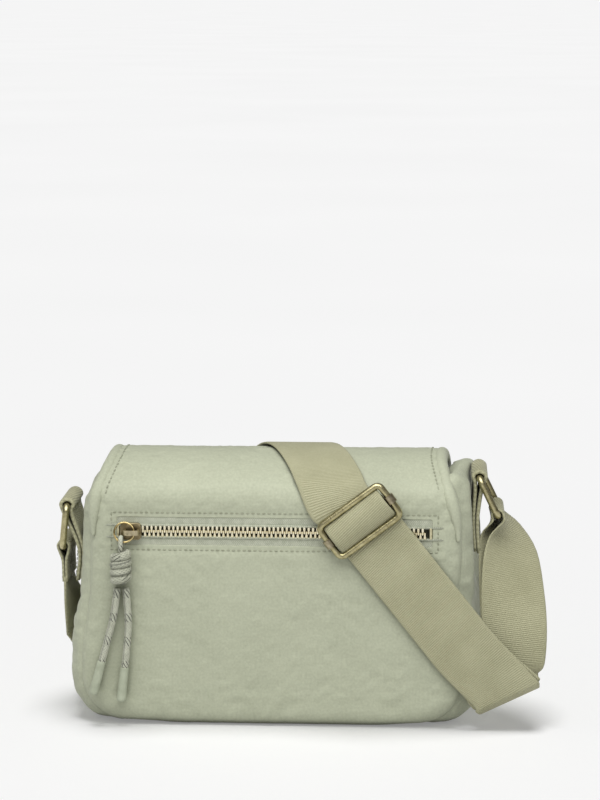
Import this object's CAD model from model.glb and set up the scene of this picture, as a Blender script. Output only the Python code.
# Crossbody purse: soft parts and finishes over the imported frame.
# Shapes are worked out in millimetres, X to the right, Y from the zipped back to the flap, Z up,
# and every mesh is made in metres.
import math

import bmesh
import bpy
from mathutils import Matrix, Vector, noise


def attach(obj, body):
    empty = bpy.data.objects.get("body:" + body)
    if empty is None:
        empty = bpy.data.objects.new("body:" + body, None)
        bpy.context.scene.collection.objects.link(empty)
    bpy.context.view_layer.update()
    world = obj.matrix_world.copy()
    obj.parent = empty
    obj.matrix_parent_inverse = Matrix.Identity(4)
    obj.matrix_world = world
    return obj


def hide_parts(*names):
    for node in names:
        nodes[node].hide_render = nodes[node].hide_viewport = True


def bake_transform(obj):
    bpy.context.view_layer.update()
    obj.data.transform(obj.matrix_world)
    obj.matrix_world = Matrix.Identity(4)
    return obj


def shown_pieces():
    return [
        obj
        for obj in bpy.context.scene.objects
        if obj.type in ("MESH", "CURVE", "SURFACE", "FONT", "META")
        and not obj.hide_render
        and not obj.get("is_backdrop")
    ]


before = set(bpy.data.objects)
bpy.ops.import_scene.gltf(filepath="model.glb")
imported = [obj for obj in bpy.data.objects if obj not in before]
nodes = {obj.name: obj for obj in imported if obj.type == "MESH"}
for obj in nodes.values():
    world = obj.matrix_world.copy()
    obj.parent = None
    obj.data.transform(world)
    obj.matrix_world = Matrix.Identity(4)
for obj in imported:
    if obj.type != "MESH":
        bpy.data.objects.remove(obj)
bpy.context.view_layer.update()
MM = 0.001
AXIS_X = Vector((1, 0, 0))
AXIS_Y = Vector((0, 1, 0))

# ------------------------------------------------------------------ sizes
SEAM_Y = -37.5
BASE = 0.5
FRONT_SEAM_Y = 38.0
GUSSET_TOPS = {-1: 132.5, 1: 143.0}
CORNER = 27.0
FLAP_MIDDLE = 2.3
FLAP_HALF = 44.3
SPRING = 134.0
RISE = 24.0
SHOULDER = 14.0
ROLL_BOTTOM = 46.0
ROLL_CORNER = 26.0
WEB_HALF = 19.3
WEB = 1.6
BEND_X = 38.5
FRONT_LOW = Vector((-98.0, 0, 45.5))
FRONT_HIGH = Vector((-6.0, 0, SPRING))
FRONT_RUN = (FRONT_HIGH - FRONT_LOW).normalized()
FRONT_ACROSS = Vector((FRONT_RUN.z, 0, -FRONT_RUN.x))
LEFT_EDGE = [(0, 115), (27, 115), (47, 114.5), (62, 112.5), (80, 109.5), (100, 109), (126, 108.5), (140, 106.5),
             (150, 103.5), (172, 100), (190, 99), (243, 101), (327, 103)]
RIGHT_EDGE = [(0, 109.5), (27, 109.5), (60, 106.5), (79, 106), (98, 108), (119, 107.5), (132, 104.5), (140, 102),
              (156, 99), (172, 97), (190, 97.5), (243, 100.5), (327, 103)]
ROLL_INSET = 2.0
SNAP_Z = 62.0
SEAM_RISE = 1.5


# ------------------------------------------------------------------ mesh helpers
def crown(distance, reach):
    """0 at a seam, rising like a quarter circle to 1 at reach."""
    left = 1 - min(max(distance / reach, 0), 1)
    return math.sqrt(1 - left * left)


def ease(value, low, high):
    """0 below low, 1 above high, smooth between."""
    t = min(max((value - low) / (high - low), 0), 1)
    return t * t * (3 - 2 * t)


def table_at(table, s):
    """Softened reading of a (place, value) table."""
    total = 0
    for shift in (-5, -2.5, 0, 2.5, 5):
        p = s + shift
        value = table[-1][1]
        for (a, va), (b, vb) in zip(table, table[1:]):
            if p <= b:
                value = va + (vb - va) * max(p - a, 0) / (b - a)
                break
        total += value
    return total / 5


def wander(x, y, size, seed=0.0):
    """Smooth noise from about -1 to 1 with features of a size in mm."""
    return noise.noise(Vector((x / size, y / size, seed)))


def new_piece(name, points, faces, uvs=None, smooth=True):
    """Mesh object from points in mm; uvs are in metres, one for each point."""
    mesh = bpy.data.meshes.new(name)
    mesh.from_pydata([tuple(Vector(p) * MM) for p in points], [], faces)
    if uvs:
        layer = mesh.uv_layers.new(name="UVMap")
        for loop in mesh.loops:
            layer.data[loop.index].uv = uvs[loop.vertex_index]
    mesh.polygons.foreach_set("use_smooth", [smooth] * len(mesh.polygons))
    mesh.update()
    piece = bpy.data.objects.new(name, mesh)
    bpy.context.scene.collection.objects.link(piece)
    return piece


def grid_faces(rows, columns, around=False, keep=None):
    """Quads between rows of points, optionally closed across the columns."""
    faces = []
    last = columns if around else columns - 1
    for r in range(rows - 1):
        for c in range(last):
            if keep is None or keep(r, c):
                n = (c + 1) % columns
                faces.append((r * columns + c, r * columns + n, (r + 1) * columns + n, (r + 1) * columns + c))
    return faces


def settle(piece):
    """Applies the modifiers on a piece."""
    bpy.context.view_layer.update()
    seen = piece.evaluated_get(bpy.context.evaluated_depsgraph_get())
    mesh = bpy.data.meshes.new_from_object(seen)
    old = piece.data
    piece.modifiers.clear()
    piece.data = mesh
    bpy.data.meshes.remove(old)


def refine(piece, levels=1, thickness=0.0, offset=-1.0):
    """Adds cloth thickness and subdivision, then applies both."""
    if thickness:
        solid = piece.modifiers.new("thickness", "SOLIDIFY")
        solid.thickness = thickness * MM
        solid.offset = offset
    if levels:
        smooth = piece.modifiers.new("smooth", "SUBSURF")
        smooth.levels = levels
        smooth.render_levels = levels
    settle(piece)


def swell(piece, held, cap, pressure=4.0):
    """Cloth pressure on a padded piece held at its seams; no point moves further than the cap in mm."""
    group = piece.vertex_groups.new(name="held")
    for index, weight in enumerate(held):
        group.add([index], min(max(weight, 0.0), 1.0), "REPLACE")
    cloth = piece.modifiers.new("cloth", "CLOTH")
    settings = cloth.settings
    settings.quality = 6
    settings.mass = 0.2
    settings.tension_stiffness = 12
    settings.compression_stiffness = 12
    settings.shear_stiffness = 4
    settings.bending_stiffness = 0.05
    settings.use_pressure = True
    settings.uniform_pressure_force = pressure
    settings.shrink_min = -0.05
    settings.vertex_group_mass = "held"
    settings.effector_weights.gravity = 0
    scene = bpy.context.scene
    for number in range(1, 21):
        scene.frame_set(number)
    seen = piece.evaluated_get(bpy.context.evaluated_depsgraph_get())
    moved = [v.co.copy() for v in seen.data.vertices]
    piece.modifiers.remove(cloth)
    scene.frame_set(1)
    for vertex, place in zip(piece.data.vertices, moved):
        step = place - vertex.co
        reach = step.length
        if reach > cap * MM:
            step *= cap * MM / reach
        vertex.co += step
    piece.vertex_groups.clear()


def finish_piece(piece, material, body=None):
    """Material, record slot and the body or bodies a piece follows."""
    piece.data.materials.clear()
    piece.data.materials.append(material)
    if body:
        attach(piece, body)
    else:
        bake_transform(piece)


def curve_through(points, steps):
    """Smooth line through points, with a number of steps between each two."""
    ends = [points[0] * 2 - points[1]] + points + [points[-1] * 2 - points[-2]]
    line = []
    for a, b, c, d in zip(ends, ends[1:], ends[2:], ends[3:]):
        for i in range(steps):
            t = i / steps
            line.append((b * 2 + (c - a) * t + (a * 2 - b * 5 + c * 4 - d) * t * t
                         + (b * 3 - a - c * 3 + d) * t ** 3) / 2)
    line.append(points[-1])
    return line


def tube(name, line, radius, sides=16, around=False, flatten=1.0, close_ends=True):
    """Tube round a line; radius is a number or a list with one for each point."""
    count = len(line)
    radii = radius if isinstance(radius, list) else [radius] * count
    points = []
    uvs = []
    run = 0.0
    side = None
    for i, centre in enumerate(line):
        before = line[i - 1] if i else (line[-1] if around else line[0])
        after = line[i + 1] if i < count - 1 else (line[0] if around else line[-1])
        along = (after - before).normalized()
        if side is None:
            side = along.orthogonal().normalized()
        side = (side - along * side.dot(along)).normalized()
        up = along.cross(side)
        run += (centre - line[i - 1]).length if i else 0
        for k in range(sides):
            angle = 2 * math.pi * k / sides
            points.append(centre + (side * math.cos(angle) + up * math.sin(angle) * flatten) * radii[i])
            uvs.append((k / sides * 2 * math.pi * radii[i] * MM, run * MM))
    faces = grid_faces(count, sides, around=True)
    if around:
        base = (count - 1) * sides
        faces += [(base + k, base + (k + 1) % sides, (k + 1) % sides, k) for k in range(sides)]
    elif close_ends:
        faces.append(tuple(reversed(range(sides))))
        faces.append(tuple((count - 1) * sides + k for k in range(sides)))
    return new_piece(name, points, faces, uvs)


def ribbon(name, stations, v_start=0.0, thickness=WEB, steps=5, wave=0.0):
    """Webbing through (centre, across, half width) stations, with rounded selvedges."""
    centres = curve_through([Vector(s[0]) for s in stations], steps)
    across = curve_through([Vector(s[1]).normalized() * s[2] for s in stations], steps)
    half = thickness / 2
    section = [(-1.0, 0.0), (-0.985, -0.75), (-0.93, -1.0)]
    section += [(-0.8 + 0.2 * k, -1.0) for k in range(9)]
    section += [(0.93, -1.0), (0.985, -0.75), (1.0, 0.0), (0.985, 0.75), (0.93, 1.0)]
    section += [(0.8 - 0.2 * k, 1.0) for k in range(9)]
    section += [(-0.93, 1.0), (-0.985, 0.75)]
    points = []
    uvs = []
    run = v_start
    count = len(centres)
    for i, centre in enumerate(centres):
        before = centres[max(i - 1, 0)]
        after = centres[min(i + 1, count - 1)]
        along = (after - before).normalized()
        side = across[i]
        out = side.cross(along).normalized()
        run += (centre - centres[i - 1]).length if i else 0
        lift = wave * wander(run, 0, 18, 3.0)
        for u, w in section:
            points.append(centre + side * u + out * (w * half + lift * (1 - u * u)))
            uvs.append((u * side.length * MM, run * MM))
    faces = grid_faces(count, len(section), around=True)
    faces.append(tuple(reversed(range(len(section)))))
    faces.append(tuple((count - 1) * len(section) + k for k in range(len(section))))
    return new_piece(name, points, faces, uvs)


def stitches(name, line, outward, pitch, length, radius, around=False):
    """Row of sewn stitches along a line of points with their outward directions."""
    points = []
    faces = []
    places = list(zip(line, outward))
    if around:
        places.append(places[0])
    travelled = 0.0
    due = 0.0
    for (a, out_a), (b, _) in zip(places, places[1:]):
        step = (b - a).length
        if step < 1e-6:
            continue
        along = (b - a) / step
        while due <= travelled + step:
            centre = a + along * (due - travelled)
            side = along.cross(out_a).normalized()
            base = len(points)
            for k, (reach, height, girth) in enumerate(((-0.5, -0.3, 0.5), (-0.32, 0.35, 1), (0, 0.6, 1.1),
                                                        (0.32, 0.35, 1), (0.5, -0.3, 0.5))):
                middle = centre + along * (reach * length) + out_a * (height * radius)
                for j in range(6):
                    angle = math.pi * j / 3
                    points.append(middle + (side * math.cos(angle) + out_a * math.sin(angle)) * radius * girth)
                if k:
                    low = base + (k - 1) * 6
                    faces += [(low + j, low + (j + 1) % 6, low + 6 + (j + 1) % 6, low + 6 + j) for j in range(6)]
            faces.append(tuple(base + j for j in reversed(range(6))))
            faces.append(tuple(base + 24 + j for j in range(6)))
            due += pitch
        travelled += step
    return new_piece(name, points, faces)


# ------------------------------------------------------------------ materials
class Recipe:
    """A node material being built."""

    def __init__(self, name, roughness, metallic=0.0, specular=0.5, sheen=0.0):
        self.material = bpy.data.materials.new(name)
        self.material.use_nodes = True
        self.tree = self.material.node_tree
        self.shader = self.tree.nodes["Principled BSDF"]
        self.set(self.shader, "Roughness", roughness)
        self.set(self.shader, "Metallic", metallic)
        self.set(self.shader, "Specular IOR Level", specular)
        if sheen:
            self.set(self.shader, "Sheen Weight", sheen)
            self.set(self.shader, "Sheen Roughness", 0.4)
        self.uv = self.node("ShaderNodeTexCoord").outputs["UV"]
        self.place = self.node("ShaderNodeTexCoord").outputs["Object"]

    def set(self, node, name, value):
        node.inputs[name].default_value = value

    def node(self, kind, **inputs):
        made = self.tree.nodes.new(kind)
        for name, value in inputs.items():
            self.feed(made.inputs[name.replace("_", " ")], value)
        return made

    def feed(self, socket, value):
        if isinstance(value, bpy.types.NodeSocket):
            self.tree.links.new(value, socket)
        else:
            socket.default_value = value

    def math(self, kind, a, b=0.0):
        made = self.node("ShaderNodeMath")
        made.operation = kind
        self.feed(made.inputs[0], a)
        self.feed(made.inputs[1], b)
        return made.outputs[0]

    def parts(self, source):
        split = self.node("ShaderNodeSeparateXYZ", Vector=source)
        return split.outputs[0], split.outputs[1], split.outputs[2]

    def wave(self, value, period_mm):
        return self.math("SINE", self.math("MULTIPLY", value, 2 * math.pi / (period_mm * MM)))

    def noise(self, size_mm, detail=3.0, rough=0.5, source=None):
        made = self.node("ShaderNodeTexNoise", Vector=source or self.place, Scale=1 / (size_mm * MM),
                         Detail=detail, Roughness=rough)
        return made.outputs["Fac"]

    def ramp(self, value, stops):
        made = self.node("ShaderNodeValToRGB", Fac=value)
        ramp = made.color_ramp
        while len(ramp.elements) < len(stops):
            ramp.elements.new(0.5)
        for element, (place, colour) in zip(ramp.elements, stops):
            element.position = place
            element.color = colour
        return made.outputs["Color"]

    def mix(self, factor, a, b):
        made = self.node("ShaderNodeMix")
        made.data_type = "RGBA"
        self.feed(made.inputs[0], factor)
        self.feed(made.inputs[6], a)
        self.feed(made.inputs[7], b)
        return made.outputs[2]

    def bump(self, height, distance_mm, strength=1.0, over=None):
        made = self.node("ShaderNodeBump", Height=height, Distance=distance_mm * MM, Strength=strength)
        if over is not None:
            self.feed(made.inputs["Normal"], over)
        return made.outputs["Normal"]

    def colour(self, value):
        self.feed(self.shader.inputs["Base Color"], value)

    def grime(self, value, distance_mm, depth):
        """A colour made darker in seams, folds and contacts."""
        near = self.node("ShaderNodeAmbientOcclusion", Distance=distance_mm * MM)
        near.samples = 6
        shade = self.ramp(near.outputs["AO"], [(0.1, (depth, depth, depth * 0.9, 1)), (0.8, (1, 1, 1, 1))])
        made = self.node("ShaderNodeMix")
        made.data_type = "RGBA"
        made.blend_type = "MULTIPLY"
        self.feed(made.inputs[0], 1.0)
        self.feed(made.inputs[6], value)
        self.feed(made.inputs[7], shade)
        return made.outputs[2]

    def normal(self, value):
        self.feed(self.shader.inputs["Normal"], value)

    def roughness(self, value):
        self.feed(self.shader.inputs["Roughness"], value)


def rgb(red, green, blue, scale=1.0):
    """Linear colour from display values of 0 to 255."""
    made = []
    for value in (red, green, blue):
        part = value / 255
        made.append((part / 12.92 if part < 0.04045 else ((part + 0.055) / 1.055) ** 2.4) * scale)
    return (*made, 1.0)


def nylon(name, dark, light, wrinkle=0.5):
    """Fine plain-weave nylon: threads, small creases and uneven tone."""
    r = Recipe(name, 0.6, specular=0.35, sheen=0.12)
    u, v, _ = r.parts(r.uv)
    threads = r.math("ADD", r.wave(u, 0.75), r.wave(v, 0.75))
    crossing = r.math("MULTIPLY", r.wave(u, 0.75), r.wave(v, 0.75))
    tone = r.math("ADD", r.math("MULTIPLY", r.noise(40, 3), 0.4),
                  r.math("MULTIPLY", r.noise(1.4, 3), 0.6))
    tone = r.math("ADD", tone, r.math("MULTIPLY", crossing, 0.05))
    r.colour(r.grime(r.ramp(tone, [(0.3, dark), (0.72, light)]), 5, 0.25))
    creases = r.bump(r.noise(9, 5, 0.6), 1.0, wrinkle)
    weave = r.bump(r.math("ADD", threads, crossing), 0.05, 0.6, over=creases)
    r.normal(weave)
    r.roughness(r.math("ADD", r.math("MULTIPLY", r.noise(14), 0.2), 0.48))
    return r.material


def twill(name, dark, light):
    """Webbing with raised diagonal ribs and a plain selvedge."""
    r = Recipe(name, 0.68, specular=0.3, sheen=0.15)
    u, v, _ = r.parts(r.uv)
    diagonal = r.wave(r.math("ADD", v, r.math("MULTIPLY", u, 0.12)), 1.15)
    cross_thread = r.wave(r.math("SUBTRACT", u, r.math("MULTIPLY", v, 0.3)), 0.85)
    edge = r.math("GREATER_THAN", r.math("ABSOLUTE", u), (WEB_HALF - 1.5) * MM)
    body = r.math("ADD", r.math("MULTIPLY", diagonal, 0.8), r.math("MULTIPLY", cross_thread, 0.35))
    rib = r.math("ADD", r.math("MULTIPLY", body, r.math("SUBTRACT", 1.0, edge)),
                 r.math("MULTIPLY", cross_thread, r.math("MULTIPLY", edge, 0.6)))
    tone = r.math("ADD", r.math("MULTIPLY", rib, 0.2), r.math("ADD", r.math("MULTIPLY", r.noise(30, 3), 0.5),
                                                             r.math("MULTIPLY", r.noise(1.1, 2), 0.25)))
    r.colour(r.grime(r.ramp(tone, [(0.1, dark), (0.68, light)]), 4, 0.35))
    r.normal(r.bump(rib, 0.16, 0.8, over=r.bump(r.noise(16, 3), 0.8, 0.3)))
    return r.material


def tape_weave(name, dark, light):
    """Zip tape with fine chevron threads."""
    r = Recipe(name, 0.75, specular=0.25)
    u, v, _ = r.parts(r.uv)
    zigzag = r.wave(r.math("ADD", r.math("ABSOLUTE", r.math("PINGPONG", u, 1.5 * MM)), v), 1.1)
    r.colour(r.ramp(r.math("ADD", r.math("MULTIPLY", zigzag, 0.3), r.noise(2.5)), [(0.2, dark), (0.8, light)]))
    r.normal(r.bump(zigzag, 0.12, 0.8))
    return r.material


def brass(name, dark, light, worn, roughness=0.3, patina=0.5):
    """Plated brass: tone varies, and raised edges are worn brighter."""
    r = Recipe(name, roughness, metallic=1.0)
    tone = r.noise(3.5, 5, 0.65)
    base = r.ramp(tone, [(patina - 0.2, dark), (patina + 0.2, light)])
    edge = r.node("ShaderNodeNewGeometry").outputs["Pointiness"]
    wear = r.math("MULTIPLY", r.ramp(edge, [(0.5, (0, 0, 0, 1)), (0.58, (1, 1, 1, 1))]), r.noise(1.5, 3))
    r.colour(r.mix(wear, base, worn))
    r.roughness(r.math("ADD", r.math("MULTIPLY", r.noise(1.2, 4), 0.22), roughness - 0.08))
    r.normal(r.bump(r.noise(0.9, 4), 0.06, 0.35))
    return r.material


def braid(name, dark, light, fleck, fleck_amount):
    """Round braided cord with diagonal strands and groups of dark flecks."""
    r = Recipe(name, 0.75, specular=0.25, sheen=0.1)
    u, v, _ = r.parts(r.uv)
    right = r.wave(r.math("ADD", r.math("MULTIPLY", u, 1.0), v), 1.69)
    left = r.wave(r.math("SUBTRACT", r.math("MULTIPLY", u, 1.0), v), 1.69)
    strands = r.math("MAXIMUM", right, left)
    group = r.math("GREATER_THAN", r.wave(v, 14.4), 1 - fleck_amount)
    thread = r.math("GREATER_THAN", r.wave(r.math("ADD", u, r.math("MULTIPLY", v, 0.7)), 2.3), 0.7)
    base = r.ramp(r.math("ADD", r.math("MULTIPLY", strands, 0.25), r.noise(3)), [(0.3, dark), (0.8, light)])
    r.colour(r.grime(r.mix(r.math("MULTIPLY", group, thread), base, fleck), 3, 0.35))
    r.normal(r.bump(strands, 0.3, 0.9))
    return r.material


def rubber(name, dark, light):
    """Matt moulded rubber with a faint grain."""
    r = Recipe(name, 0.55, specular=0.35)
    r.colour(r.ramp(r.noise(5, 4), [(0.3, dark), (0.7, light)]))
    r.normal(r.bump(r.noise(0.6, 4), 0.05, 0.4))
    return r.material


COVER = nylon("cover_nylon", rgb(166, 170, 147), rgb(184, 188, 164), 0.4)
LINING = nylon("lining_nylon", rgb(120, 124, 104), rgb(140, 144, 122), 0.3)
THREAD = rubber("sewing_thread", rgb(142, 145, 124), rgb(160, 163, 142))
WEBBING = twill("webbing_twill", rgb(140, 138, 107), rgb(186, 184, 152))
TAPE = tape_weave("tape_chevron", rgb(158, 162, 142), rgb(192, 195, 176))
TEETH = brass("teeth_brass", rgb(206, 192, 148), rgb(246, 238, 208), rgb(255, 252, 236), 0.24, 0.42)
SLIDER = brass("slider_antique", rgb(92, 82, 58), rgb(152, 138, 104), rgb(222, 210, 176), 0.34)
GOLD = brass("ring_gold", rgb(158, 138, 86), rgb(208, 188, 134), rgb(250, 236, 196), 0.2)
ANTIQUE = brass("fitting_antique", rgb(128, 118, 78), rgb(190, 182, 138), rgb(236, 230, 198), 0.27, 0.48)
BAR = brass("bar_bronze", rgb(78, 68, 50), rgb(128, 116, 90), rgb(200, 190, 160), 0.3, 0.5)
CORD = braid("cord_braid", rgb(172, 174, 155), rgb(204, 206, 187), rgb(74, 76, 70), 0.6)
KNOT = braid("knot_braid", rgb(156, 158, 139), rgb(190, 192, 173), rgb(96, 98, 88), 0.3)
TIP = rubber("tip_rubber", rgb(158, 164, 142), rgb(176, 182, 160))
STEEL = brass("snap_steel", rgb(120, 118, 112), rgb(178, 176, 168), rgb(225, 224, 218), 0.26)


# ------------------------------------------------------------------ cover over the top
ARC_TILT = 2 * math.atan((RISE - SHOULDER) / (FLAP_HALF - SHOULDER))
ARC_LEAN = math.pi / 2 - ARC_TILT
CROWN_RADIUS = SHOULDER + (FLAP_HALF - SHOULDER) / math.sin(ARC_TILT)
CROWN_DROP = (FLAP_HALF - SHOULDER) / math.tan(ARC_TILT)
S_BACK = SPRING
S_CROWN = S_BACK + SHOULDER * ARC_LEAN
S_FRONT_BEND = S_CROWN + 2 * CROWN_RADIUS * ARC_TILT
S_FRONT = S_FRONT_BEND + SHOULDER * ARC_LEAN
S_ROLL = S_FRONT + SPRING - ROLL_BOTTOM


def over(s):
    """Point and outward direction, as (y, z) pairs, at a distance s from the base of the back."""
    if s < S_BACK:
        return (FLAP_MIDDLE - FLAP_HALF, s), (-1.0, 0.0)
    if s < S_CROWN:
        angle = math.pi - (s - S_BACK) / SHOULDER
        centre = (FLAP_MIDDLE - FLAP_HALF + SHOULDER, SPRING)
        radius = SHOULDER
    elif s < S_FRONT_BEND:
        angle = math.pi / 2 + ARC_TILT - (s - S_CROWN) / CROWN_RADIUS
        centre = (FLAP_MIDDLE, SPRING - CROWN_DROP)
        radius = CROWN_RADIUS
    elif s < S_FRONT:
        angle = math.pi / 2 - ARC_TILT - (s - S_FRONT_BEND) / SHOULDER
        centre = (FLAP_MIDDLE + FLAP_HALF - SHOULDER, SPRING)
        radius = SHOULDER
    else:
        return (FLAP_MIDDLE + FLAP_HALF, SPRING - (s - S_FRONT)), (1.0, 0.0)
    out = (math.cos(angle), math.sin(angle))
    return (centre[0] + out[0] * radius, centre[1] + out[1] * radius), out


def on_cover(x, s, lift=0.0):
    """Point over the cover at a sideways place x and a distance s along it."""
    (y, z), (out_y, out_z) = over(s)
    return Vector((x, y + out_y * lift, z + out_z * lift))


def seam_rise(x):
    """Height of the base seam above its middle: it climbs towards the lower corners."""
    return SEAM_RISE * ease(abs(x), 55, 86)


def edge_at(side, s):
    """Half width of the cover on one side."""
    return table_at(LEFT_EDGE if side < 0 else RIGHT_EDGE, s)


WINDOW = (-93.0, 91.0, 107.5, 124.5)
STITCHED = (-96.0, 94.0, 105.0, 127.0)
FIXED_HALF = 96.0
REACH = 118.0
CORD_CLEAR = 0.6


def box_distance(x, z, box):
    """Signed distance outside a rectangle given as x from, x to, z from, z to."""
    dx = max(box[0] - x, x - box[1])
    dz = max(box[2] - z, z - box[3])
    if dx > 0 and dz > 0:
        return math.hypot(dx, dz)
    return max(dx, dz)


def strap_cover(x, z):
    """1 where the strap lies on the back, 0 clear of it."""
    along = ((x - 51.3) * 0.6225 - (z - 121.5) * 0.7826)
    across = abs((x - 51.3) * 0.7826 + (z - 121.5) * 0.6225)
    return (1 - ease(across, 20, 28)) * (1 if along > -60 else 0)


def strap_hold(x, s):
    """1 where the strap presses on the cover, 0 clear of it, over the back, the top and the front."""
    if s < S_BACK:
        return strap_cover(x, s)
    if s < S_FRONT:
        middle = BEND_X - 42 * (s - S_BACK) / (S_FRONT - S_BACK)
        return 1 - ease(abs(x - middle), 22, 30)
    across = abs((x - FRONT_LOW.x) * FRONT_ACROSS.x + (on_cover(x, s).z - FRONT_LOW.z) * FRONT_ACROSS.z)
    return 1 - ease(across, 20, 28)


def cover_lift(x, s):
    """How far the padded cover stands out from its pattern surface."""
    half = edge_at(x, s)
    if s < S_BACK + 6:
        gap = half - abs(x)
        low_x = abs(x) - (edge_at(x, 27) - CORNER)
        low_z = CORNER + seam_rise(x) - s
        above = s - seam_rise(x)
        reach = 15.0
        if low_x > 0 and low_z > 0:
            from_centre = math.hypot(low_x, low_z)
            gap = CORNER - from_centre
            reach = 6.0 + 9.0 * low_x / from_centre
        elif above < gap:
            gap = above
            reach = 6.0
        drop = 4.5 - 3.0 * ease(s, 104, 128)
        lift = -drop * (1 - crown(gap, reach)) - 2.0 * math.exp(-max(gap, 0) / 1.5)
        from_stitch = box_distance(x, s, STITCHED)
        lift -= 0.9 * math.exp(-(from_stitch / 1.6) ** 2)
        if from_stitch < 0:
            lift = min(lift, -0.55)
        creased = ease(from_stitch, 0, 10) * (1 - 0.75 * strap_cover(x, s))
        near = math.exp(-gap / 14)
    else:
        gap = half - abs(x)
        if s > S_FRONT:
            low_x = abs(x) - (half - ROLL_CORNER)
            low_s = s - (S_ROLL - ROLL_CORNER)
            if low_x > 0 and low_s > 0:
                gap = ROLL_CORNER - math.hypot(low_x, low_s)
            else:
                gap = min(gap, S_ROLL - s)
        lift = -2.0 * (1 - crown(gap, 11))
        creased = 0.5
        near = math.exp(-gap / 12)
    creases = 0.55 * wander(x, s, 30, 1.0) + 0.3 * wander(x, s * 1.4, 13, 2.0)
    puckers = 0.55 * near * wander(x * 1.1, s * 1.1, 5.5, 5.0)
    return min(lift + (creases + puckers) * creased, CORD_CLEAR)


def spread(marks, step):
    """Places from the first mark to the last, through every mark, about a step apart."""
    places = []
    for a, b in zip(marks, marks[1:]):
        count = max(1, round((b - a) / step))
        places += [a + (b - a) * i / count for i in range(count)]
    return places + [marks[-1]]


def cover_place(x_ref, s_ref):
    """Sideways place and distance along the cover for a grid column and row."""
    side = -1 if x_ref < 0 else 1
    half = edge_at(side, s_ref)
    inner = min(FIXED_HALF, half - 6)
    size = abs(x_ref)
    if size <= FIXED_HALF:
        x = size * inner / FIXED_HALF
    else:
        x = inner + (size - FIXED_HALF) / (REACH - FIXED_HALF) * (half - inner)
    s = s_ref
    if s_ref < 60:
        past = x - (edge_at(side, 27) - CORNER)
        start = BASE + seam_rise(x)
        if past > 0:
            start += CORNER - math.sqrt(max(CORNER ** 2 - past ** 2, 0))
        s = start + s_ref * (1 - start / 60)
    if s_ref > S_ROLL - 60:
        past = x - (half - ROLL_CORNER)
        rise = 0.0
        if past > 0:
            rise = ROLL_CORNER - math.sqrt(max(ROLL_CORNER ** 2 - past ** 2, 0))
        s = S_ROLL - 60 + (s_ref - S_ROLL + 60) * (1 - rise / 60)
    return side * x, s


def make_cover():
    """Padded nylon in one piece, from the base of the back over the top and down the flap."""
    x_marks = [-REACH, -116.6, -114.6, -111, -104, -FIXED_HALF, WINDOW[0], WINDOW[0] + 2, -60, 0, 60, WINDOW[1] - 2, WINDOW[1],
               94, FIXED_HALF, 104, 111, 114.6, 116.6, REACH]
    s_marks = [0, 2, 6, 14, 60, 100, 105, WINDOW[2], WINDOW[2] + 2, WINDOW[3] - 2, WINDOW[3], 127, 132, S_BACK,
               S_CROWN, S_FRONT_BEND, S_FRONT, S_ROLL - 14, S_ROLL - 4, S_ROLL]
    columns = spread(x_marks, 3.2)
    rows = spread(s_marks, 3.2)
    points = []
    uvs = []
    held = []
    for s_ref in rows:
        for x_ref in columns:
            x, s = cover_place(x_ref, s_ref)
            points.append(on_cover(x, s, cover_lift(x, s)))
            uvs.append((x * MM, s * MM))
            rim = min(REACH - abs(x_ref), s_ref, S_ROLL - s_ref)
            crest = 0.7 if s < S_FRONT else 0.0
            held.append(max(1 - ease(rim, 4, 14), 1 - ease(box_distance(x, s, STITCHED), 0.5, 8),
                            strap_hold(x, s), crest))

    def keep(r, c):
        x = (columns[c] + columns[c + 1]) / 2
        s = (rows[r] + rows[r + 1]) / 2
        return box_distance(x, s, WINDOW) > 0

    faces = grid_faces(len(rows), len(columns), keep=keep)
    cover = new_piece("shell_cover", points, faces, uvs)
    swell(cover, held, 1.0)
    fold_window(cover)
    refine(cover)
    finish_piece(cover, COVER)
    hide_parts("back_panel", "flap_panel", "back_wadding", "flap_wadding")
    return cover


def fold_window(cover):
    """Turns the cover's edge in round the zip window."""
    work = bmesh.new()
    work.from_mesh(cover.data)
    loose = [v for v in work.verts if not v.link_faces]
    bmesh.ops.delete(work, geom=loose, context="VERTS")
    uv = work.loops.layers.uv.active
    rim = [e for e in work.edges if e.is_boundary
           and all(box_distance(v.co.x / MM, v.co.z / MM, WINDOW) < 0.5 and v.co.y < -0.03 for v in e.verts)]
    middle = Vector(((WINDOW[0] + WINDOW[1]) / 2, 0, (WINDOW[2] + WINDOW[3]) / 2)) * MM
    for inward, back in ((0.35, 0.25), (0.1, 0.9), (-1.2, 0.5)):
        made = bmesh.ops.extrude_edge_only(work, edges=rim)["geom"]
        verts = [g for g in made if isinstance(g, bmesh.types.BMVert)]
        for v in verts:
            v.co.x += math.copysign(inward * MM, middle.x - v.co.x) if abs(v.co.x - middle.x) > 0.088 else 0
            v.co.z += math.copysign(inward * MM, middle.z - v.co.z) if abs(v.co.z - middle.z) > 0.007 else 0
            v.co.y += back * MM
            for loop in v.link_loops:
                loop[uv].uv = (v.co.x, v.co.z)
        rim = [g for g in made if isinstance(g, bmesh.types.BMEdge) and g.is_boundary]
    bmesh.ops.recalc_face_normals(work, faces=work.faces)
    work.to_mesh(cover.data)
    work.free()
    cover.data.polygons.foreach_set("use_smooth", [True] * len(cover.data.polygons))


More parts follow.
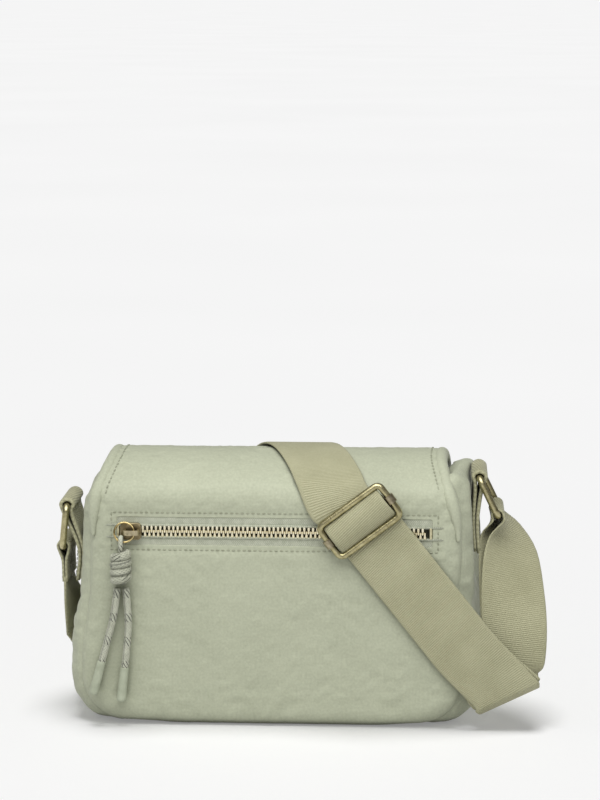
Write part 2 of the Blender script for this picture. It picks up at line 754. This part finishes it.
def roll_line(inset, lift, start_left, start_right):
    """Line along the flap's edge roll, with outward directions, from left back to right back."""
    places = []
    s = start_left
    while s < S_ROLL - ROLL_CORNER:
        places.append((-(edge_at(-1, s) - inset), s))
        s += 3.0
    centre = 103 - ROLL_CORNER
    radius = ROLL_CORNER - inset
    for side in (-1, 1):
        for i in range(13):
            angle = math.pi / 2 * (i if side < 0 else 12 - i) / 12
            places.append((side * (centre + radius * math.cos(angle)),
                           S_ROLL - ROLL_CORNER + radius * math.sin(angle)))
        if side < 0:
            places += [(-centre + 3 + k * (2 * centre - 6) / 48, S_ROLL - inset) for k in range(49)]
    s = S_ROLL - ROLL_CORNER - 2
    while s > start_right:
        places.append((edge_at(1, s) - inset, s))
        s -= 3.0
    line = [on_cover(x, s, lift) for x, s in places]
    outward = [(on_cover(x, s, lift + 1) - on_cover(x, s, lift)).normalized() for x, s in places]
    return line, outward, places


def make_roll():
    """Padded roll sewn round the flap, fading into the seams down the back."""
    line, _, places = roll_line(ROLL_INSET, -1.8, 112.0, 108.0)
    radii = []
    for i, (x, s) in enumerate(places):
        fade = ease(s, 110, 134)
        radii.append(1.2 + 2.9 * fade + 0.12 * wander(x, s, 9, 7.0))
        crest = ease(s, S_BACK - 12, S_CROWN + 6) * (1 - ease(s, S_FRONT_BEND - 6, S_FRONT + 12))
        line[i] = on_cover(x, s, -1.8 - 1.6 * crest)
    roll = tube("flap_roll", line, radii, 14)
    refine(roll)
    finish_piece(roll, COVER)
    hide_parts("flap_edge_roll")
    line, outward, places = roll_line(ROLL_INSET + 5.6, 0.0, 139.0, 139.0)
    line = [on_cover(x, s, cover_lift(x, s) + 0.1) for x, s in places]
    sewn = stitches("roll_topstitch", line, outward, 3.3, 2.3, 0.36)
    finish_piece(sewn, THREAD)


def make_flap_lining():
    """Cloth on the flap's inner side."""
    columns = spread([-94, 0, 94], 6)
    rows = spread([S_BACK + 6, S_CROWN, S_FRONT_BEND, S_FRONT, S_ROLL - 2], 5)
    points = []
    uvs = []
    for s in rows:
        for c in columns:
            half = edge_at(c, s) - 2.5
            x = c / 94 * half
            low = s - (S_ROLL - 2 - ROLL_CORNER)
            if low > 0:
                past = abs(x) - (half - ROLL_CORNER)
                rise = ROLL_CORNER - math.sqrt(max(ROLL_CORNER ** 2 - past ** 2, 0)) if past > 0 else 0
                place = S_ROLL - 2 - ROLL_CORNER + low * (1 - rise / ROLL_CORNER)
            else:
                place = s
            lift = -5.0 + 0.3 * wander(x, place, 14, 4.0)
            points.append(on_cover(x, place, lift))
            uvs.append((x * MM, place * MM))
    cloth = new_piece("flap_inner_cloth", points, grid_faces(len(rows), len(columns)), uvs)
    refine(cloth, 1, 0.4)
    finish_piece(cloth, LINING)
    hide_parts("flap_lining")


# ------------------------------------------------------------------ gusset, front and lining
def wall_at(z):
    """Half width of the gusset's own wall."""
    return 118 - 6 * max(z - 45, 0) / (142 - 45)


TUCK = 4.0


def outline(t, left, right, low, rise=0.0):
    """Point and outward direction on a panel's outline, t from 0 at the top left to 5 at the top right.

    Below 0 and above 5 the top edge is rolled over inwards.
    """
    if t < 0 or t > 5:
        side = -1 if t < 0 else 1
        turn = math.radians(210 * (-t if t < 0 else t - 5))
        out = Vector((side * math.cos(turn), 0, math.sin(turn)))
        top = GUSSET_TOPS[side]
        half = left(top) if t < 0 else right(top)
        return Vector((side * (half - TUCK), 0, top)) + out * TUCK, out
    part = min(int(t), 4)
    f = t - part
    turn_z = CORNER + low + rise
    x_left = left(CORNER)
    x_right = right(CORNER)
    if part == 0:
        z = GUSSET_TOPS[-1] + (turn_z - GUSSET_TOPS[-1]) * f
        return Vector((-left(z), 0, z)), Vector((-1, 0, 0))
    if part == 4:
        z = turn_z + (GUSSET_TOPS[1] - turn_z) * f
        return Vector((right(z), 0, z)), Vector((1, 0, 0))
    if part == 2:
        x = -(x_left - CORNER) + (x_right + x_left - 2 * CORNER) * f
        return Vector((x, 0, low + (seam_rise(x) if rise else 0))), Vector((0, 0, -1))
    angle = math.pi + f * math.pi / 2 if part == 1 else 1.5 * math.pi + f * math.pi / 2
    out = Vector((math.cos(angle), 0, math.sin(angle)))
    centre = Vector((-(x_left - CORNER) if part == 1 else x_right - CORNER, 0, turn_z))
    return centre + out * CORNER, out


def make_gusset():
    """Padded strip round the sides and base, pulled in at both seams and hemmed at its tops."""
    marks = []
    for start, steps in ((-1, 10), (0, 44), (1, 18), (2, 60), (3, 18), (4, 44), (5, 10)):
        marks += [start + i / steps for i in range(steps)]
    marks.append(6)
    across = [0, 0.012, 0.035, 0.07, 0.12, 0.18] + [0.25 + 0.05 * k for k in range(11)]
    across += [0.82, 0.88, 0.93, 0.965, 0.988, 1.0]
    points = []
    uvs = []
    held = []
    for t in marks:
        back, out_back = outline(t, lambda z: edge_at(-1, z), lambda z: edge_at(1, z), BASE, SEAM_RISE)
        front, out_front = outline(t, wall_at, wall_at, BASE)
        out = (out_back + out_front).normalized()
        z = (back.z + front.z) / 2
        side = -1 if t < 2.5 else 1
        slack = 1.0 + (3.4 if side < 0 else 3.0) * (1 - ease(z, 58, 80))
        slack += 1.4 * math.sin(math.pi * (t % 1)) if 1 < t < 2 or 3 < t < 4 else 0
        middle = (back + front) / 2
        wall, _ = outline(t, wall_at, wall_at, 0.2)
        top = t < 0 or t > 5
        run = min(max(t, 0), 5) * 110 + (min(t, 0) + max(t - 5, 0)) * 24
        for v in across:
            gap = min(v, 1 - v) * 76
            shape = crown(gap, 15)
            y = SEAM_Y + 0.5 + (FRONT_SEAM_Y - SEAM_Y - 0.5) * v
            under_strap = ease(y, -26, -12) if side < 0 and 24 < z < 96 else 0
            bulge = max((wall - middle).dot(out), 0) + slack * abs(out.x) * (1 - 0.85 * under_strap)
            gather = 2.0 * wander(run, v * 14, 4.6, 9.0) * math.exp(-gap / 12) * crown(gap, 3)
            folds = 1.0 * wander(run * 0.6, y * 0.35, 11, 11.0) * crown(gap, 12)
            loose = (1 if z < 60 else 0.45) * (1 - 0.8 * under_strap)
            flat = 0.15 if 2 <= t <= 3 else 1
            tuck = -3.2 * math.exp(-gap / 1.6)
            place = back.lerp(front, v) + out * (bulge * shape + (gather + folds * loose) * flat + tuck)
            place.y = y
            under_tab = (1 - ease(abs(y), 23, 34)) * ease(z, 68, 80)
            place.x += (side * (wall_at(place.z) + 0.5) - place.x) * under_tab * (0 if top else 1)
            if top:
                place.z += 1.0 * wander(y, t, 6.0, 15.0) - 1.5 * (1 - crown(gap, 20))
            place.z = max(place.z, 0.15)
            points.append(place)
            uvs.append((y * MM, run * MM))
            held.append(max(1 - ease(gap, 1, 9), 1 if z < 3 or (abs(y) < 24 and z > 62) else 0, under_strap))
    gusset = new_piece("gusset_cover", points, grid_faces(len(marks), len(across)), uvs)
    swell(gusset, held, 2.5)
    refine(gusset, 1, 2.0)
    finish_piece(gusset, COVER, "bag")
    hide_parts("gusset", "gusset_wadding")


def make_front():
    """Padded front panel behind the flap, pressed in round the snap's socket."""
    columns = spread([-117, -108, 0, 108, 117], 5)
    rows = spread([0, 6, 14, 130, 138], 5)
    points = []
    uvs = []
    for z_ref in rows:
        for x_ref in columns:
            half = wall_at(z_ref) - 1
            x = x_ref / 117 * half
            past = abs(x) - (117 - CORNER)
            start = BASE
            if past > 0:
                start += CORNER - math.sqrt(max(CORNER ** 2 - past ** 2, 0))
            z = start + z_ref * (1 - start / 138)
            gap = min(half - abs(x), max(z - start, 0) + 0.1)
            y = FRONT_SEAM_Y - 0.6 + 3.0 * crown(gap, 14) + 0.3 * wander(x, z, 25, 6.0) * crown(gap, 14)
            sunk = 1.6 * (1 - ease(math.hypot(x, z - SNAP_Z), 9, 14))
            points.append(Vector((x, min(y, 40.6) - sunk, z)))
            uvs.append((x * MM, z * MM))
    faces = [tuple(reversed(f)) for f in grid_faces(len(rows), len(columns))]
    front = new_piece("front_cover", points, faces, uvs)
    refine(front, 1, 2.0)
    finish_piece(front, COVER, "bag")
    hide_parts("front_panel", "front_wadding")


def make_lining():
    """Loose lining bag with soft folds, open at the top."""
    heights = [138, 136, 131, 120, 105, 90, 75, 60, 45, 30, 18, 9, 5.5, 5.0]
    sides = 96
    points = []
    uvs = []
    for level, z in enumerate(heights + [4.8, 4.7]):
        shrink = 1.0 if level < len(heights) else (0.6, 0.1)[level - len(heights)]
        half_x = (wall_at(z) - 5.0 - (18 - min(z, 18)) * 0.5) * shrink
        half_y = 35.2 * shrink
        for k in range(sides):
            angle = 2 * math.pi * k / sides
            c = math.cos(angle)
            s = math.sin(angle)
            power = 0.28
            x = half_x * math.copysign(abs(c) ** power, c)
            y = 0.8 + half_y * math.copysign(abs(s) ** power, s)
            fold = 1 - 0.016 * (1 + wander(x * 0.5, z * 0.3, 6, 13.0)) * (1 if 9 < z < 136 else 0.2)
            sunk = 5.0 * ease(-x, 85, 104) * ease(z, 118, 134)
            points.append(Vector((x * fold, 0.8 + (y - 0.8) * fold, z - sunk)))
            uvs.append((k * 6.0 * MM, z * MM))
    lining = new_piece("lining_cloth", points, grid_faces(len(heights) + 2, sides, around=True), uvs)
    refine(lining, 1, 0.5)
    finish_piece(lining, LINING, "bag")
    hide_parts("lining")


# ------------------------------------------------------------------ zip
def make_tapes():
    """Woven tapes with a corded edge beside the teeth."""
    for label, z, side in (("zip_tape_upper", 124.7, 1), ("zip_tape_lower", 107.3, -1)):
        tape = ribbon("woven_" + label, [((x, -40.6, z), (0, 0, 1), 5.6) for x in (-99, -50, 0, 50, 97)],
                      thickness=0.8)
        finish_piece(tape, TAPE, "bag")
        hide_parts(label)
        cord = tube("corded_" + label, [Vector((x, -41.1, z - side * 5.2)) for x in (-99, -50, 0, 50, 97)], 0.75, 10)
        finish_piece(cord, TAPE, "bag")


def make_teeth():
    """Interlocking teeth, each a waisted head on a root gripping its tape."""
    outline_xz = [(-0.7, 3.0), (0.7, 3.0), (0.88, 1.6), (0.6, 0.7), (0.6, -0.8), (0.4, -1.2), (-0.4, -1.2),
                  (-0.6, -0.8), (-0.6, 0.7), (-0.88, 1.6)]
    for label, side in (("zip_teeth_upper", 1), ("zip_teeth_lower", -1)):
        points = []
        faces = []
        for k in range(65):
            x = -77.5 + 2.54 * k + (0 if side > 0 else 1.27)
            base = len(points)
            for y, size in ((-42.1, 0.72), (-41.7, 1.0), (-39.9, 1.0)):
                for a, b in outline_xz:
                    points.append(Vector((x + a * size, y, 116.0 + side * (0.35 + b * (0.9 if size < 1 else 1.0)))))
            ring = len(outline_xz)
            for level in range(2):
                low = base + level * ring
                faces += [(low + j, low + (j + 1) % ring, low + ring + (j + 1) % ring, low + ring + j)
                          for j in range(ring)]
            faces.append(tuple(base + j for j in range(ring)))
        teeth = new_piece("meshed_" + label, points, faces, smooth=False)
        finish_piece(teeth, TEETH, "bag")
        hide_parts(label)


def make_window_stitches():
    """Dashed stitching round the zip window."""
    corners = [(STITCHED[0], STITCHED[2]), (STITCHED[1], STITCHED[2]), (STITCHED[1], STITCHED[3]),
               (STITCHED[0], STITCHED[3])]
    line = []
    for (x0, z0), (x1, z1) in zip(corners, corners[1:] + corners[:1]):
        for i in range(60):
            x = x0 + (x1 - x0) * i / 60
            z = z0 + (z1 - z0) * i / 60
            line.append(on_cover(x, z, cover_lift(x, z) + 0.15))
    sewn = stitches("window_stitches", line, [Vector((0, -1, 0))] * len(line), 3.1, 2.2, 0.34, around=True)
    finish_piece(sewn, THREAD, "bag")


# ------------------------------------------------------------------ pull cord
KNOT_X = -89.7
LEFT_TAIL = [(-92.1, -47.4, 83.8), (-93.9, -46.6, 68), (-98.3, -46.6, 52), (-102.1, -46.6, 38)]
RIGHT_TAIL = [(-87.3, -47.4, 83.8), (-85.8, -46.6, 68), (-86.4, -46.6, 52), (-88.5, -46.6, 34.5)]
TAIL_DIAMETER = 4.3


def spline_points(name, route):
    """Evenly read points of an open NURBS spline through its control points, in mm."""
    data = bpy.data.curves.new(name, "CURVE")
    data.dimensions = "3D"
    data.resolution_u = 12
    spline = data.splines.new("NURBS")
    spline.points.add(len(route) - 1)
    for point, place in zip(spline.points, route):
        point.co = (*(Vector(place) * MM), 1)
    spline.order_u = 3
    spline.use_endpoint_u = True
    carrier = bpy.data.objects.new(name, data)
    mesh = bpy.data.meshes.new_from_object(carrier)
    line = [v.co / MM for v in mesh.vertices]
    bpy.data.objects.remove(carrier)
    bpy.data.curves.remove(data)
    bpy.data.meshes.remove(mesh)
    return line


def make_tail(side, route):
    """Braided tail of the pull cord with its moulded tip."""
    line = spline_points("route", route)
    radii = [TAIL_DIAMETER / 2 * (1 + 0.03 * math.sin(i * 1.3)) for i in range(len(line))]
    tail = tube("braided_tail_" + side, line, radii, 20)
    refine(tail)
    finish_piece(tail, CORD, "pull_cord")
    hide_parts("pull_tail_" + side)
    end = Vector(route[-1])
    along = (end - Vector(route[-2])).normalized()
    profile = [(-1.5, 2.25), (-0.9, 2.55), (0.0, 2.6), (5, 2.62), (12, 2.75), (17.2, 2.85), (18.8, 2.7),
               (19.4, 2.1), (19.5, 0.6)]
    tip = tube("moulded_tip_" + side, [end + along * d for d, _ in profile], [r for _, r in profile], 24)
    refine(tip)
    finish_piece(tip, TIP, "pull_cord")
    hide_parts("tip_" + side)


def make_pull():
    """Cord looped through the ring, wound in a four-turn knot, with two tails."""
    loop = [(KNOT_X, -49.9, 103), (KNOT_X, -50.0, 108), (KNOT_X, -49.4, 112.2), (KNOT_X, -47.5, 113.4),
            (KNOT_X, -45.6, 112.2), (KNOT_X, -45.2, 108), (KNOT_X, -46.4, 103)]
    strand = tube("cord_loop", curve_through([Vector(p) for p in loop], 6), 1.3, 14)
    finish_piece(strand, CORD, "pull_cord")
    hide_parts("pull_cord_loop")
    turns = 4
    line = []
    radii = []
    for i in range(turns * 32 + 1):
        f = i / (turns * 32)
        angle = f * turns * 2 * math.pi + 0.8
        wide = 3.75 + 0.3 * math.sin(f * math.pi)
        line.append(Vector((KNOT_X + wide * math.cos(angle), -49.7 + wide * math.sin(angle),
                            87.0 + 17.6 * f)))
        radii.append(2.6 * (0.75 + 0.25 * crown(min(f, 1 - f), 0.06)))
    coil = tube("knot_coil", line, radii, 16)
    refine(coil)
    finish_piece(coil, KNOT, "pull_cord")
    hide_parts("pull_knot")
    make_tail("left", LEFT_TAIL)
    make_tail("right", RIGHT_TAIL)


# ------------------------------------------------------------------ strap, tabs and loops
FRAME_TILT = math.radians(37)
FRAME_LONG = Vector((math.cos(FRAME_TILT), 0, math.sin(FRAME_TILT)))
FRAME_SHORT = Vector((-FRAME_LONG.z, 0, FRAME_LONG.x))
FRAME_Y = -48.6
LEFT_EYE = Vector((-125.0, 0, 126.0))
RIGHT_EYE = Vector((118.0, 0, 145.0))
RING_HEIGHT = 25.0
LEFT_BAR = LEFT_EYE + Vector((math.sin(math.radians(-6)), 0, -math.cos(math.radians(-6)))) * RING_HEIGHT
RIGHT_BAR = RIGHT_EYE + Vector((math.sin(math.radians(26)), 0, -math.cos(math.radians(26)))) * RING_HEIGHT
WIRE_CLEAR = 2.45
RUN = Vector((0.6225, 0, -0.7826))
RUN_ACROSS = Vector((0.7826, 0, 0.6225))
ADJUSTER = Vector((48.8, 0, 124.6))
FOLD_ANGLE = math.radians(26)
FOLD_LINE = Vector((math.cos(FOLD_ANGLE), 0, math.sin(FOLD_ANGLE)))
FOLD_DOWN = Vector((FOLD_LINE.z, 0, -FOLD_LINE.x))
FOLD_CENTRE = Vector((133.6, 0, 23.0))
FOLD_HALF = 21.6
OUTER_Y = -45.6
UNDER_Y = -43.4
FOLD_OUTER = 6.2
FOLD_INNER = 4.0
FOLD_Y = OUTER_Y + FOLD_OUTER
CREST_LIFT = 2.0


def strap_down_back(y, start):
    """Stations from a place along the back run down to the fold line."""
    stations = []
    full = (FOLD_CENTRE - ADJUSTER).length
    for i in range(9):
        along = start + (full - start) * i / 8
        skew = ease(along, full - 32, full)
        side = RUN_ACROSS.lerp(FOLD_LINE, skew).normalized()
        centre = ADJUSTER + RUN * along + (FOLD_CENTRE - ADJUSTER - RUN * full) * skew
        stations.append((Vector((centre.x, y, centre.z)), side, WEB_HALF / side.dot(RUN_ACROSS)))
    return stations


def make_long_run():
    """Strap up the flap's front, over the top and down the back to the fold."""
    stations = []
    for i in range(7):
        place = FRONT_LOW.lerp(FRONT_HIGH, i / 6)
        side = FRONT_ACROSS.lerp(AXIS_X, ease(i, 4, 6.5)).normalized()
        stations.append((Vector((place.x, 50.2, place.z)), side, WEB_HALF / max(side.dot(FRONT_ACROSS), 0.5) ** 0.4))
    for i in range(1, 12):
        s = S_FRONT - (S_FRONT - S_BACK) * i / 12
        f = i / 12
        x = -6.0 + 42.0 * f
        lift = CREST_LIFT
        stations.append((on_cover(x, s, lift), AXIS_X, 20.4))
    start = ADJUSTER + RUN * (-(SPRING - 3 - ADJUSTER.z) / -RUN.z)
    stations.append((Vector((start.x - 4.5, OUTER_Y, SPRING - 2)), AXIS_X.lerp(RUN_ACROSS, 0.45).normalized(), 20.0))
    stations += strap_down_back(OUTER_Y, -4.0)
    stations += fold_stations(FOLD_OUTER, True)[1:]
    strap = ribbon("strap_long_run", stations, wave=0.12)
    finish_piece(strap, WEBBING)
    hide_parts("strap_front_run", "strap_over_top", "strap_top_bend", "strap_back_run")


def fold_stations(radius, downwards):
    """Half turn of strap round the fold line."""
    stations = []
    for i in range(7):
        angle = math.pi * i / 6
        turn = angle if downwards else math.pi - angle
        centre = FOLD_CENTRE + Vector((0, FOLD_Y - radius * math.cos(turn), 0)) + FOLD_DOWN * radius * math.sin(turn)
        stations.append((centre, FOLD_LINE, FOLD_HALF * (1 - 0.1 * math.sin(turn))))
    return stations


def right_leg(inner):
    """Stations up from the fold to the right ring for one layer."""
    leg = WIRE_CLEAR + WEB / 2
    route = [(137.4, -35.6, 38, 90, 2.3), (138.8, -33.4, 57, 84, 2.8), (138.0, -25.5, 77, 75, 3.6),
             (136.5, -13.0, 98, 56, 4.8), (133.5, -3.0, 111, 28, 6.0),
             (RIGHT_BAR.x + leg, 0, RIGHT_BAR.z - 3.6, 0, 2 * leg)]
    stations = []
    for x, y, z, turn, apart in route:
        angle = math.radians(turn)
        across = Vector((math.sin(angle), math.cos(angle), 0))
        outward = Vector((math.cos(angle), -math.sin(angle), 0))
        centre = Vector((x, y, z)) - (outward * apart if inner else Vector((0, 0, 0)))
        stations.append((centre, across, WEB_HALF))
    return stations


def make_right_run():
    """Doubled strap from the fold up to the right ring, over its bar and back to the adjuster."""
    stations = [fold_stations(FOLD_OUTER, True)[-1]] + right_leg(True)
    leg = WIRE_CLEAR + WEB / 2
    for i in range(7):
        angle = math.pi - math.pi * i / 6
        stations.append((RIGHT_BAR + Vector((math.cos(angle), 0, math.sin(angle))) * leg, AXIS_Y, WEB_HALF))
    stations += list(reversed(right_leg(False)))
    stations += fold_stations(FOLD_INNER, False)
    stations += list(reversed(strap_down_back(UNDER_Y, 8.0)))[1:]
    strap = ribbon("strap_right_run", stations, wave=0.1, steps=4)
    finish_piece(strap, WEBBING)
    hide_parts("strap_fold_outer", "strap_fold_inner", "strap_right_outer", "strap_right_inner",
                "strap_under_run", "strap_loop_right")


def webbing_loop(name, plies, bar, side, thickness=WEB):
    """Webbing doubled over a bar; plies are (inner, outer) centre lines from the bar down."""
    leg = WIRE_CLEAR + thickness / 2
    inner, outer = plies
    stations = [Vector(p) for p in reversed(inner)]
    stations += [bar + Vector((-side * leg, 0, 0.2)), bar + Vector((-side * leg * 0.7, 0, leg * 0.72)),
                 bar + Vector((0, 0, leg)), bar + Vector((side * leg * 0.7, 0, leg * 0.72)),
                 bar + Vector((side * leg, 0, 0.2))]
    stations += [Vector(p) for p in outer]
    return ribbon(name, [(p, AXIS_Y, WEB_HALF) for p in stations], thickness=thickness, wave=0.1)


TAB_PLY = 2.3


def make_tabs():
    """Webbing tab folded round each ring's upper bar, both plies sewn to the gusset."""
    for label, side, eye in (("left", -1, LEFT_EYE), ("right", 1, RIGHT_EYE)):
        low = eye.z - 45
        high = eye.z - 26
        x_low = side * (wall_at(low) + 1.85)
        x_high = side * (wall_at(high) + 1.85)
        inner = [(eye.x - side * 2.4, 0, eye.z - 5), (x_high - side * 0.8, 0, high), (x_low - side * 0.8, 0, low + 1)]
        outer = [(eye.x + side * 1.4, 0, eye.z - 6), (x_high + side * 1.6, 0, high), (x_low + side * 1.6, 0, low)]
        tab = webbing_loop("webbing_tab_" + label, (inner, outer), eye, side, TAB_PLY)
        finish_piece(tab, WEBBING, "bag")
        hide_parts("tab_" + label)
        line = []
        for y, z in ((-15.5, low + 3), (15.5, low + 3), (15.5, high - 2), (-15.5, high - 2), (-15.5, low + 3),
                     (15.5, high - 2), (15.5, low + 3), (-15.5, high - 2)):
            line.append(Vector((side * (wall_at(z) + 4.7), y, z)))
        sewn = stitches("tab_stitches_" + label, line, [Vector((side, 0, 0))] * len(line), 2.6, 2.0, 0.28)
        finish_piece(sewn, THREAD, "bag")


def make_left_run():
    """Strap end sewn round the left ring's bar, then down and round to the flap's corner."""
    x = LEFT_BAR.x
    z = LEFT_BAR.z
    inner = [(x + 2.6, 0, z - 4), (x + 1.5, 0, z - 9), (x + 1.75, 0, z - 21)]
    outer = [(x - 1.9, 0, z - 4), (x - 0.4, 0, z - 9), (x - 0.05, 0, z - 21)]
    loop = webbing_loop("webbing_loop_left", (inner, outer), LEFT_BAR, -1)
    finish_piece(loop, WEBBING, "ring_left")
    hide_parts("strap_loop_left")
    line = [Vector((x - 0.95, y, z - 19 + h)) for y, h in ((-15.5, 0), (15.5, 0), (15.5, 8), (-15.5, 8), (-15.5, 0))]
    sewn = stitches("loop_stitches_left", line, [Vector((-1, 0, 0))] * 5, 2.6, 2.0, 0.28)
    finish_piece(sewn, THREAD, "ring_left")
    upper = [((x + 0.7, 0, z - 18), (0, -1, 0), WEB_HALF), ((x + 0.8, 0, z - 24), (0, -1, 0), WEB_HALF),
             ((-125.6, 5, 66), (-0.1, -1, -0.1), WEB_HALF), ((-124.0, 18, 52), (-0.25, -0.8, -0.5), WEB_HALF)]
    lower = [((-124.0, 18, 52), (-0.25, -0.8, -0.5), WEB_HALF), ((-120.5, 36, 43), (-0.2, -0.25, -1), WEB_HALF),
             ((-112.5, 48.6, 40.5), (0.1, 0, -1), WEB_HALF),
             ((FRONT_LOW.x, 50.2, FRONT_LOW.z), FRONT_ACROSS, WEB_HALF)]
    both = ribbon("strap_left_upper", upper, steps=8)
    finish_piece(both, WEBBING)
    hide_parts("strap_left_run")
    low = ribbon("strap_left_lower", lower, steps=8)
    finish_piece(low, WEBBING)


def make_frame():
    """Adjuster's cast frame, thicker than plain wire."""
    half_long = 21.8
    half_short = 11.2
    corner = 3.4
    line = []
    for quarter, (side_a, side_b) in enumerate(((1, 1), (-1, 1), (-1, -1), (1, -1))):
        for i in range(7):
            angle = math.pi / 2 * (quarter + i / 6)
            a = side_a * (half_long - corner) + corner * math.cos(angle)
            b = side_b * (half_short - corner) + corner * math.sin(angle)
            line.append(Vector((ADJUSTER.x, FRAME_Y, ADJUSTER.z)) + FRAME_LONG * a + FRAME_SHORT * b)
    cast = tube("cast_frame", line, 2.05, 16, around=True, flatten=0.92)
    refine(cast)
    finish_piece(cast, ANTIQUE, "adjuster")
    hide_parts("adjuster_frame")


def make_adjuster_hump():
    """Webbing rising over the adjuster's bar."""
    stations = []
    for i in range(13):
        along = -9.6 + 19.2 * i / 12
        rise = math.cos(along / 9.6 * math.pi / 2) ** 0.8 if abs(along) < 9.6 else 0
        centre = ADJUSTER + RUN * along
        stations.append((Vector((centre.x, -47.3 - 4.4 * rise, centre.z)), RUN_ACROSS, WEB_HALF))
    hump = ribbon("strap_hump", stations, steps=3)
    finish_piece(hump, WEBBING, "adjuster_bar")
    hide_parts("strap_over_bar")


# ------------------------------------------------------------------ stage
def finish_hardware():
    """Finishes for the CAD parts that stay as they are."""
    finishes = {"pocket_bag": LINING, "zip_stop_left": ANTIQUE, "zip_stop_right": ANTIQUE, "slider_body": SLIDER,
                "slider_bridge": SLIDER, "pull_ring": GOLD, "strap_ring_left": ANTIQUE, "strap_ring_right": ANTIQUE,
                "adjuster_bar": BAR,
                "snap_socket": STEEL, "snap_socket_washer": STEEL, "snap_stud": STEEL, "snap_stud_washer": STEEL}
    for name, material in finishes.items():
        mesh = nodes[name].data
        for index in range(max(len(mesh.materials), 1)):
            if len(mesh.materials):
                mesh.materials[index] = material
            else:
                mesh.materials.append(material)


def make_stage():
    """Pale floor, soft light and the camera."""
    size = 1000000
    floor = new_piece("floor", [(-size, -size, 0), (size, -size, 0), (size, size, 0), (-size, size, 0)], [(0, 1, 2, 3)])
    r = Recipe("floor_paper", 0.95, specular=0.0)
    r.colour(r.ramp(r.noise(900, 2), [(0.3, (0.74, 0.74, 0.74, 1)), (0.7, (0.76, 0.76, 0.76, 1))]))
    r.set(r.shader, "Emission Color", (1, 1, 1, 1))
    r.set(r.shader, "Emission Strength", 0.22)
    floor.data.materials.append(r.material)
    floor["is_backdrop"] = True
    purse_only = bpy.data.collections.new("purse_only")
    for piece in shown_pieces():
        purse_only.objects.link(piece)
    floor_only = bpy.data.collections.new("floor_only")
    floor_only.objects.link(floor)
    world = bpy.data.worlds.new("studio")
    bpy.context.scene.world = world
    world.use_nodes = True
    world.node_tree.nodes["Background"].inputs["Color"].default_value = (1, 1, 1, 1)
    world.node_tree.nodes["Background"].inputs["Strength"].default_value = 0.2
    softbox = bpy.data.lights.new("softbox", "AREA")
    softbox.shape = "RECTANGLE"
    softbox.size = 0.8
    softbox.size_y = 0.5
    softbox.energy = 3.8
    lamp = bpy.data.objects.new("softbox", softbox)
    lamp.location = (0.02, -0.42, 0.62)
    lamp.rotation_euler = (Vector(lamp.location) - Vector((0, -0.04, 0.08))).to_track_quat("Z", "Y").to_euler()
    lamp.light_linking.receiver_collection = purse_only
    bpy.context.scene.collection.objects.link(lamp)
    for name, energy, turn, spread_angle, receivers in (("key", 1.3, (20, 0, -28), 60, purse_only),
                                                        ("floor_light", 2.28, (0, 0, 0), 26, floor_only)):
        light = bpy.data.lights.new(name, "SUN")
        light.energy = energy
        light.angle = math.radians(spread_angle)
        lamp = bpy.data.objects.new(name, light)
        lamp.rotation_euler = [math.radians(a) for a in turn]
        lamp.light_linking.receiver_collection = receivers
        bpy.context.scene.collection.objects.link(lamp)
    target = Vector((14, -42, 194)) * MM
    azimuth = math.radians(3)
    elevation = math.radians(9)
    back = Vector((math.sin(azimuth) * math.cos(elevation), -math.cos(azimuth) * math.cos(elevation),
                   math.sin(elevation)))
    lens = bpy.data.cameras.new("camera")
    lens.sensor_width = 36
    lens.lens = 36 * 2608.7 / 800
    lens.clip_end = 3000
    camera = bpy.data.objects.new("camera", lens)
    camera.location = target + back * 1.5
    camera.rotation_euler = back.to_track_quat("Z", "Y").to_euler()
    bpy.context.scene.collection.objects.link(camera)
    bpy.context.scene.camera = camera
    bpy.context.scene.view_settings.view_transform = "Standard"


make_cover()
make_roll()
make_flap_lining()
make_gusset()
make_front()
make_lining()
make_tapes()
make_teeth()
make_window_stitches()
make_pull()
make_long_run()
make_right_run()
make_tabs()
make_left_run()
make_frame()
make_adjuster_hump()
finish_hardware()
make_stage()
